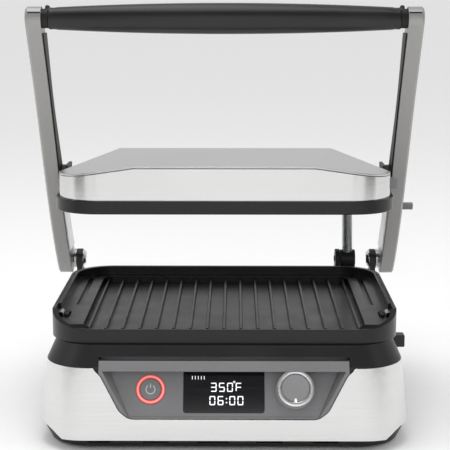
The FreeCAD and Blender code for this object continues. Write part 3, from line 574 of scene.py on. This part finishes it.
# Points along the smooth line that the route controls.
def splinePoints(route):
    curve = bpy.data.curves.new("conduitLine", "CURVE")
    curve.dimensions = "3D"
    curve.resolution_u = 40
    spline = curve.splines.new("NURBS")
    spline.points.add(len(route) - 1)
    for point, place in zip(spline.points, route):
        point.co = (*place, 1.0)
    spline.order_u = 3
    spline.use_endpoint_u = True
    holder = bpy.data.objects.new("conduitLine", curve)
    scene.collection.objects.link(holder)
    bpy.context.view_layer.update()
    mesh = bpy.data.meshes.new_from_object(holder)
    line = np.array([vertex.co for vertex in mesh.vertices])
    bpy.data.objects.remove(holder)
    return line


# The same line with points at even steps of length.
def evenly(line, count):
    steps = np.linalg.norm(np.diff(line, axis=0), axis=1)
    travelled = np.concatenate([[0], np.cumsum(steps)])
    wanted = np.linspace(0, travelled[-1], count)
    return np.stack([np.interp(wanted, travelled, line[:, k]) for k in range(3)], 1), travelled[-1]


# A circle carried along the line, its radius waving with the distance along and once a turn round.
def makeConduit():
    line, length = evenly(splinePoints(conduit["route"]), conduit["along"])
    tangent = np.gradient(line, axis=0)
    tangent /= np.linalg.norm(tangent, axis=1)[:, None]
    side = np.array((1.0, 0, 0)) - tangent * tangent[:, :1]
    side /= np.linalg.norm(side, axis=1)[:, None]
    other = np.cross(tangent, side)
    angle = np.linspace(0, 2 * math.pi, conduit["around"], endpoint=False)[None, :]
    along = np.linspace(0, length, conduit["along"])[:, None]
    wave = 0.5 - 0.5 * np.cos(2 * math.pi * along / conduit["ribPitch"] - angle)
    radius = conduit["radius"] - conduit["ribDepth"] * wave
    radius[0] = radius[-1] = 0
    radius = np.concatenate([radius[:1], radius[1:2], radius[1:-1], radius[-2:-1], radius[-1:]])
    pick = np.concatenate([[0, 0], np.arange(1, len(line) - 1), [len(line) - 1, len(line) - 1]])
    ring = np.cos(angle)[..., None] * side[pick][:, None] + np.sin(angle)[..., None] * other[pick][:, None]
    points = line[pick][:, None] + radius[..., None] * ring
    piece = closeUp(gridSurface("conduitSleeve", points, closeV=True))
    finishPiece(piece, sleeveSteel, "hinge_pins", ["wiring_conduit"])
    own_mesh(piece)


makeConduit()
print("conduit made")


# handle grip: a barrel with rolled ends
grip = {
    "rows": 96, "roll": 1.6 * mm, "lip": 0.35 * mm, "lipAt": 5.0 * mm, "lipHalf": 0.8 * mm,
    "narrow": 9.6 * mm, "bore": 5.05 * mm,
}


# The radius falls with the square of the distance from the middle; each end rolls in, behind a fine groove.
def makeGrip():
    low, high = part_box("handle_grip")
    centre = (low + high) / 2
    half = (high.x - low.x) / 2
    widest = (high.z - low.z) / 2
    bore = grip["bore"]
    x = np.linspace(-half + grip["roll"], half - grip["roll"], grip["rows"])
    radius = widest - (widest - grip["narrow"]) * (x / half) ** 2
    groove = np.exp(-(((np.abs(x) - (half - grip["lipAt"])) / grip["lipHalf"]) ** 2))
    radius = radius - grip["lip"] * groove
    turn = np.linspace(0, math.pi / 2, 7)
    endX = half - grip["roll"] + grip["roll"] * np.sin(turn)
    endR = radius[-1] - grip["roll"] * (1 - np.cos(turn))
    profile = [(-half, bore)] + list(zip(-endX[::-1], endR[::-1])) + list(zip(x[1:-1], radius[1:-1]))
    profile += list(zip(endX, endR)) + [(half, bore), (-half, bore)]
    piece = turned("gripSleeve", profile, centre, (1, 0, 0), 88)
    finishPiece(piece, gripBlack, "arms", ["handle_grip"])


makeGrip()


# knob: turned body with a knurled skirt, a rounded chrome rim and a raised pointer
knob = {"radius": 16.1, "skirt": 17.1, "rimIn": 12.3, "face": -0.9, "ridges": 60, "ridgeDepth": 0.22}


# Profiles turned round the knob's axis; the skirt's radius waves with the angle.
def makeKnob():
    out = Vector(panelOut)
    r, skirt, rimIn = knob["radius"], knob["skirt"], knob["rimIn"]
    base, top = 1.4, 14.0
    face = top + knob["face"]
    outline = [
        (base, 3.1), (base, skirt - 0.5), (base + 0.4, skirt), (base + 1.9, skirt), (base + 2.3, r - 0.2),
        (top - 4.4, r - 0.25), (top - 4.4, rimIn - 0.1), (face - 0.3, rimIn - 0.2),
        (face, rimIn - 0.6), (face - 0.5, 5.0), (face - 0.6, 0.0),
    ]
    profile = softCorners([(a, b) for a, b in outline], 0.35) * mm
    profile = np.concatenate([profile, [[9.0 * mm, 0.0]], [[9.0 * mm, 3.1 * mm]], profile[:1]])

    def ridged(radius, angle, along):
        onSkirt = (radius > 15.4 * mm) & (along < (top - 4.5) * mm) & (along > (base + 2.2) * mm)
        wave = knob["ridgeDepth"] * mm * (0.5 - 0.5 * np.cos(knob["ridges"] * angle))
        return radius - wave * onSkirt

    foot = onPanel(panelMiddle.x, 0, 0)
    body = turned("knobCap", profile, foot, out, 240, ridged)
    finishPiece(body, knobGrey, "knob", ["knob_body"])
    turn = np.linspace(0, 2 * math.pi, 29)
    wide, tall = (r - rimIn) / 2, 2.05
    square = 0.45  # under 1 squares the section off towards a flat top
    height = np.sign(np.sin(turn)) * np.abs(np.sin(turn)) ** square
    across = np.sign(np.cos(turn)) * np.abs(np.cos(turn)) ** square
    rim = np.stack([top - tall + tall * height, (r + rimIn) / 2 + wide * across], 1)
    ring = turned("knobBrightRim", rim * mm, foot, out, 120)
    finishPiece(ring, rimMetal, "knob", ["knob_rim"])
    half, inner, outer = 1.1 * mm, 9.0 * mm, 12.6 * mm
    outline = [(-half, -outer), (half, -outer), (half, -inner - half), (half * 0.6, -inner - half * 0.3),
               (0, -inner), (-half * 0.6, -inner - half * 0.3), (-half, -inner - half)]
    pointer = plateOnPanel("knobPointer", outline, panelMiddle.x, 0, (top - 1.6) * mm, (top - 0.35) * mm)
    finishPiece(pointer, markWhite, "knob")


makeKnob()
print("grip and knob made")


# power symbol and display digits
symbol = {"radius": 3.9, "width": 0.95, "gap": 34, "bar": (1.2, 5.0), "sink": 0.3, "rise": 0.06}


# A flat strip of even width along an arc, as an outline.
def arcStrip(radius, width, start, end, steps=40):
    angle = np.radians(np.linspace(start, end, steps))
    outer = np.stack([np.cos(angle), np.sin(angle)], 1) * (radius + width / 2)
    inner = np.stack([np.cos(angle), np.sin(angle)], 1) * (radius - width / 2)
    return outer, inner


# Two matching edge lines on the panel, joined into a solid strip.
def stripOnPanel(name, outer, inner, x, up, low, high):
    across = np.array((1.0, 0, 0))
    upward, outward = np.array(panelUp), np.array(panelOut)
    origin = np.array(onPanel(x, up, 0))

    def lift(edge, height):
        return origin + edge[:, :1] * across + edge[:, 1:] * upward + outward * height

    loops = np.stack([lift(outer, low), lift(outer, high), lift(inner, high), lift(inner, low)], 1)
    middle = loops.mean(1, keepdims=True)
    first, last = middle[:1] + 0 * loops[:1], middle[-1:] + 0 * loops[-1:]
    return closeUp(gridSurface(name, np.concatenate([first, loops, last]), closeV=True), smooth=False)


def makePowerSymbol():
    face = 0.9 * mm
    low, high = face - symbol["sink"] * mm, face + symbol["rise"] * mm
    start, end = 90 + symbol["gap"], 450 - symbol["gap"]
    outer, inner = arcStrip(symbol["radius"] * mm, symbol["width"] * mm, start, end)
    ring = stripOnPanel("symbolRing", outer, inner, buttonX, 0, low, high)
    half = symbol["width"] * mm / 2
    foot, top = (v * mm for v in symbol["bar"])
    outline = [(-half, foot), (half, foot), (half, top), (-half, top)]
    bar = plateOnPanel("symbolBar", outline, buttonX, 0, low, high)
    piece = joinPieces("powerSymbol", [ring, bar])
    finishPiece(piece, markGrey, "power_button")


display = {
    "height": 7.9, "width": 5.1, "stroke": 0.9, "pitch": 7.1, "gap": 0.14,
    "rows": [("350", (-8.9, 2.0)), ("06:00", (-10.0, -9.6))],
    "modeBars": 5, "modePitch": 2.6, "modeStart": (-27.6, 10.3),
}
lampOf = {  # which of the seven strokes each sign lights
    "0": "abcdef", "3": "abcdg", "5": "acdfg", "6": "acdefg", "F": "aefg",
}


# The seven strokes as pointed bars about the sign's centre, named a to g clockwise from the top.
def strokeOutlines():
    h, w, s, g = (display[k] * mm for k in ("height", "width", "stroke", "gap"))
    across = np.array([
        (-w / 2 + g, 0), (-w / 2 + s / 2 + g, s / 2), (w / 2 - s / 2 - g, s / 2),
        (w / 2 - g, 0), (w / 2 - s / 2 - g, -s / 2), (-w / 2 + s / 2 + g, -s / 2),
    ])
    long = h / 2 - s / 2
    up = np.array([
        (0, -long / 2 + g), (s / 2, -long / 2 + s / 2 + g), (s / 2, long / 2 - s / 2 - g),
        (0, long / 2 - g), (-s / 2, long / 2 - s / 2 - g), (-s / 2, -long / 2 + s / 2 + g),
    ])
    x, y = w / 2 - s / 2, long / 2
    return {
        "a": across + (0, long), "g": across, "d": across - (0, long),
        "b": up + (x, y), "c": up + (x, -y), "f": up + (-x, y), "e": up + (-x, -y),
    }


def makeDigits():
    strokes = strokeOutlines()
    face = 0.4 * mm
    low, high = face - 0.2 * mm, face + 0.04 * mm
    parts = []

    def lamp(outline, x, up):
        parts.append(plateOnPanel("lamp", outline, x, up, low, high))

    dot = np.array([(-1, -1), (1, -1), (1, 1), (-1, 1)]) * 0.55 * mm
    for text, (startX, up) in display["rows"]:
        x = windowX + startX * mm
        for sign in text:
            if sign == ":":
                for side in (-1, 1):
                    lamp(dot, x - 1.9 * mm, up * mm + side * 1.7 * mm)
                x += 3.1 * mm
                continue
            for stroke in lampOf[sign]:
                lamp(strokes[stroke], x, up * mm)
            x += display["pitch"] * mm
        if text == "350":
            for stroke in lampOf["F"]:
                lamp(strokes[stroke], x + 0.4 * mm, up * mm)
            outer, inner = arcStrip(0.75 * mm, 0.5 * mm, 0, 360, 20)    # the degree sign
            degreeX, degreeUp = x - 3.6 * mm + 0.2 * mm, (up + 4.6) * mm
            parts.append(stripOnPanel("lamp", outer, inner, degreeX, degreeUp, low, high))
    bar = np.array([(-0.3, -1.5), (0.3, -1.5), (0.3, 1.5), (-0.3, 1.5)]) * mm
    startX, up = display["modeStart"]
    for k in range(display["modeBars"]):  # a row of grill bars stands for the mode
        lamp(bar, windowX + (startX + display["modePitch"] * k) * mm, up * mm)
    piece = joinPieces("displayDigits", parts)
    finishPiece(piece, segments, "base")


makePowerSymbol()
makeDigits()
print("symbol and digits made")


# smaller turned pieces, on axes that the frame gives
hingeAt = Vector(joints["fold_back"]["pos_m"])


# Spool of the hinge: a nose cone, a waist that the bracket holds, and a grooved collar.
def makeHingePins():
    outline = [
        (147.2, 0.0), (147.2, 5.6), (147.7, 6.5), (149.6, 8.7), (150.3, 9.5), (150.8, 9.5), (150.8, 5.0),
        (157.2, 5.0), (157.2, 9.6), (157.6, 10.2), (158.3, 10.2), (158.5, 9.7), (158.9, 9.7), (159.1, 10.2),
        (159.8, 10.2), (160.2, 9.8), (160.2, 5.0), (172.0, 5.0), (172.0, 0.0),
    ]
    profile = softCorners(outline, 0.15, 4) * mm
    for side, word in ((1, "right"), (-1, "left")):
        piece = turned("hingeSpool_" + word, profile, hingeAt, (side, 0, 0), 72)
        finishPiece(piece, chrome, "hinge_pins", ["hinge_pin_" + word])


# Lock knob: a pin whose head has shallow rings, its radius falling and rising with the distance along.
def makeLockKnob():
    low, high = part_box("hinge_lock_pin")
    axis = (low + high) / 2
    start, reach = low.x, (high.x - low.x) / mm
    head = high.x / mm - low.x / mm - 12.1
    x = np.linspace(head + 1.4, reach - 1.6, 60)
    rings = 3.8 - 0.28 * (0.5 - 0.5 * np.cos(2 * math.pi * (x - x[0]) / 1.5))
    profile = [(0, 0), (0, 2.5), (head, 2.5), (head, 3.5), (head + 0.3, 3.8)] + list(zip(x, rings))
    profile += [(reach - 0.8, 3.8), (reach - 0.25, 3.55), (reach, 3.0), (reach, 0)]
    piece = turned("lockKnob", np.array(profile) * mm, (start, axis.y, axis.z), (1, 0, 0), 48)
    finishPiece(piece, buttonGrey, "hinge_lock", ["hinge_lock_pin"])


# Rubber feet with two rings in their soles, and six-lobed screws with a wavy thread.
def makeFeetAndScrews():
    sole = [
        (3.8, 0), (3.8, 9.0), (1.2, 9.0), (0.5, 8.75), (0, 8.2), (0, 6.6), (0.6, 6.3), (0.6, 5.2), (0, 4.9),
        (0, 3.2), (0.6, 2.9), (0.6, 0),
    ]
    profile = softCorners(sole, 0.12, 3) * mm
    parts = []
    for mount in frame["record"]["mounts"]:
        x, y, _ = mount["pos_m"]
        parts.append(turned("sole", profile, (x, y, 0), (0, 0, 1), 56))
    finishPiece(joinPieces("rubberSoles", parts), footRubber, "base", ["feet"])
    low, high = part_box("base_screws")
    headHalf = 3.2 * mm
    z = np.linspace(6.3, 15.6, 64)
    thread = 1.65 - 0.3 * (0.5 - 0.5 * np.cos(2 * math.pi * z / 0.8))
    outline = [(5.0, 0), (5.0, 1.4), (3.7, 1.5), (3.6, 1.75), (3.6, 2.6), (4.0, 3.1), (4.6, 3.2)]
    outline += [(5.95, 3.2), (5.95, 1.65)] + list(zip(z, thread)) + [(16.0, 0.9), (16.0, 0)]

    def lobed(radius, angle, along):
        inside = (radius < 1.6 * mm) & (along < 5.5 * mm)
        return radius * (1 + 0.16 * np.cos(6 * angle) * inside)

    parts = []
    for x in (low.x + headHalf, high.x - headHalf):
        for y in (low.y + headHalf, high.y - headHalf):
            parts.append(turned("screw", np.array(outline) * mm, (x, y, 0), (0, 0, 1), 36, lobed))
    finishPiece(joinPieces("panScrews", parts), zincPlate, "base", ["base_screws"])


# A sheet bent along a path of (x, z) points, of even thickness, as wide as y0 to y1.
def bentStrip(name, path, thickness, y0, y1, side):
    path = softCorners(path, 1.4, 6) * mm
    along = np.gradient(path, axis=0)
    along /= np.linalg.norm(along, axis=1)[:, None]
    across = np.stack([-along[:, 1], along[:, 0]], 1) * thickness * mm / 2
    edges = [(path + across, y0), (path + across, y1), (path - across, y1), (path - across, y0)]
    loops = np.stack([
        np.stack([side * edge[:, 0] + hingeAt.x, np.full(len(edge), y), edge[:, 1]], 1)
        for edge, y in edges
    ], 1)
    middle = loops.mean(1, keepdims=True)
    first, last = middle[:1] + 0 * loops[:1], middle[-1:] + 0 * loops[-1:]
    return closeUp(gridSurface(name, np.concatenate([first, loops, last]), closeV=True), smooth=False)


def makeClips():
    low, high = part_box("clip_springs")
    path = [(145.3, 97.6), (145.3, 108.0), (146.6, 109.9), (149.4, 109.9), (150.2, 109.3)]
    parts = [bentStrip("tab", path, 0.9, low.y, high.y, side) for side in (1, -1)]
    finishPiece(joinPieces("clipTabs", parts), zincPlate, "base", ["clip_springs"])


# A dark line let into the rounded top of each arm, along X, at a set angle above level.
capLine = {"angle": 31.0, "halfAngle": 4.0, "radius": 10.56, "from": 162.4, "to": 173.6}


def makeCapLines():
    low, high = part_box("handle_tube")
    middle = (low + high) / 2
    angle = np.radians(capLine["angle"] + np.array((-1, -0.4, 0.4, 1)) * capLine["halfAngle"])
    outer = np.stack([-np.cos(angle), np.sin(angle)], 1) * capLine["radius"] * mm
    inner = outer[::-1] * 0.95
    section = np.concatenate([outer, inner])
    parts = []
    for side in (1, -1):
        near, far = capLine["from"], capLine["to"]
        x = np.array([near, near, far, far]) * mm * side + hingeAt.x
        rings = np.zeros((4, len(section), 3))
        rings[:, :, 0] = x[:, None]
        rings[:, :, 1:] = section[None]
        rings[0, :, 1:] = rings[3, :, 1:] = section.mean(0)
        rings[:, :, 1] += middle.y
        rings[:, :, 2] += middle.z
        parts.append(closeUp(gridSurface("line", rings, closeV=True), smooth=False))
    finishPiece(joinPieces("armCapLines", parts), linerBlack, "arms")


makeHingePins()
makeLockKnob()
makeFeetAndScrews()
makeClips()
makeCapLines()
print("small pieces made")


# floor and light
studio = {
    "floorSize": 80.0,
    "floor": (0.93, 0.93, 0.93),
    "lamps": [  # name, place, aim, width, height, power
        ("front", (0.0, -2.7, 0.80), (0, 0, 0.3), 2.4, 1.3, 11.0),
        ("top", (-0.15, -0.1, 1.7), (0, 0, 0.1), 1.3, 0.9, 9.0),
        ("left", (-1.6, -0.5, 0.9), (0, 0, 0.2), 0.5, 1.4, 3.0),
        ("right", (1.6, -0.5, 0.9), (0, 0, 0.2), 0.5, 1.4, 2.0),
    ],
    "cards": [  # place, turn about Z, width, height: seen only as bands in the steel
        ((-0.66, -2.3, 0.62), 0, 0.42, 1.4),
        ((0.66, -2.3, 0.62), 0, 0.42, 1.4),
        ((-1.35, -0.9, 0.5), -60, 0.9, 1.2),
        ((1.35, -0.9, 0.5), 60, 0.9, 1.2),
    ],
    "openSky": 0.84,       # what lights the floor and matt surfaces, and shows behind
    "glossFront": 0.10,    # what shiny surfaces see of the sky in front
    "glossBack": 0.66,     # and behind
}


# An even sky for matt surfaces; shiny ones see it dark in front and pale behind.
def makeSky():
    world = bpy.data.worlds.new("sky")
    scene.world = world
    world.use_nodes = True
    links, made = world.node_tree.links, world.node_tree.nodes
    background = made["Background"]
    direction = made.new("ShaderNodeTexCoord").outputs["Generated"]
    parts = made.new("ShaderNodeSeparateXYZ")
    links.new(direction, parts.inputs[0])
    towardsBack = made.new("ShaderNodeMapRange")
    settings = {
        "From Min": -0.1, "From Max": 0.5, "To Min": studio["glossFront"], "To Max": studio["glossBack"],
    }
    for key, value in settings.items():
        towardsBack.inputs[key].default_value = value
    links.new(parts.outputs["Y"], towardsBack.inputs["Value"])
    path = made.new("ShaderNodeLightPath")
    chosen = made.new("ShaderNodeMix")
    links.new(path.outputs["Is Glossy Ray"], chosen.inputs[0])
    chosen.inputs[2].default_value = studio["openSky"]
    links.new(towardsBack.outputs["Result"], chosen.inputs[3])
    seen = made.new("ShaderNodeMix")
    links.new(path.outputs["Is Camera Ray"], seen.inputs[0])
    links.new(chosen.outputs[0], seen.inputs[2])
    seen.inputs[3].default_value = 1.0
    links.new(seen.outputs[0], background.inputs["Strength"])
    background.inputs["Color"].default_value = (1.0, 1.0, 1.0, 1.0)


def addPlane(name, size, place, turn=(0, 0, 0), scale=(1, 1, 1)):
    bpy.ops.mesh.primitive_plane_add(size=size, location=place, rotation=turn)
    plane = bpy.context.object
    plane.name = name
    plane.scale = scale
    return plane


def makeStudio():
    floor = addPlane("floor", studio["floorSize"], (0, 0, 0))
    paper = Finish("floorPaper", Roughness=0.7)
    fibre = paper.noise(paper.place(), 60.0, 3.0)
    tone = paper.mix(fibre, studio["floor"], tuple(c * 1.03 for c in studio["floor"]))
    floor.data.materials.append(paper.feed(Base_Color=tone))
    dark = Finish("cardBlack", Roughness=0.9, Base_Color=(0.02, 0.02, 0.02, 1))
    for place, turn, width, height in studio["cards"]:
        card = addPlane("card", 1, place, (math.pi / 2, 0, math.radians(turn)), (width, height, 1))
        card.visible_camera = False
        card.visible_shadow = False
        card.visible_diffuse = False
        card.data.materials.append(dark.material)
    for name, place, aim, width, height, power in studio["lamps"]:
        light = bpy.data.lights.new(name, "AREA")
        light.shape = "RECTANGLE"
        light.size = width
        light.size_y = height
        light.energy = power
        lamp = bpy.data.objects.new(name, light)
        scene.collection.objects.link(lamp)
        lamp.location = place
        lamp.rotation_euler = (Vector(aim) - Vector(place)).to_track_quat("-Z", "Y").to_euler()
        lamp.visible_camera = False
    makeSky()
    scene.view_settings.view_transform = "Standard"


makeStudio()
print("studio made")
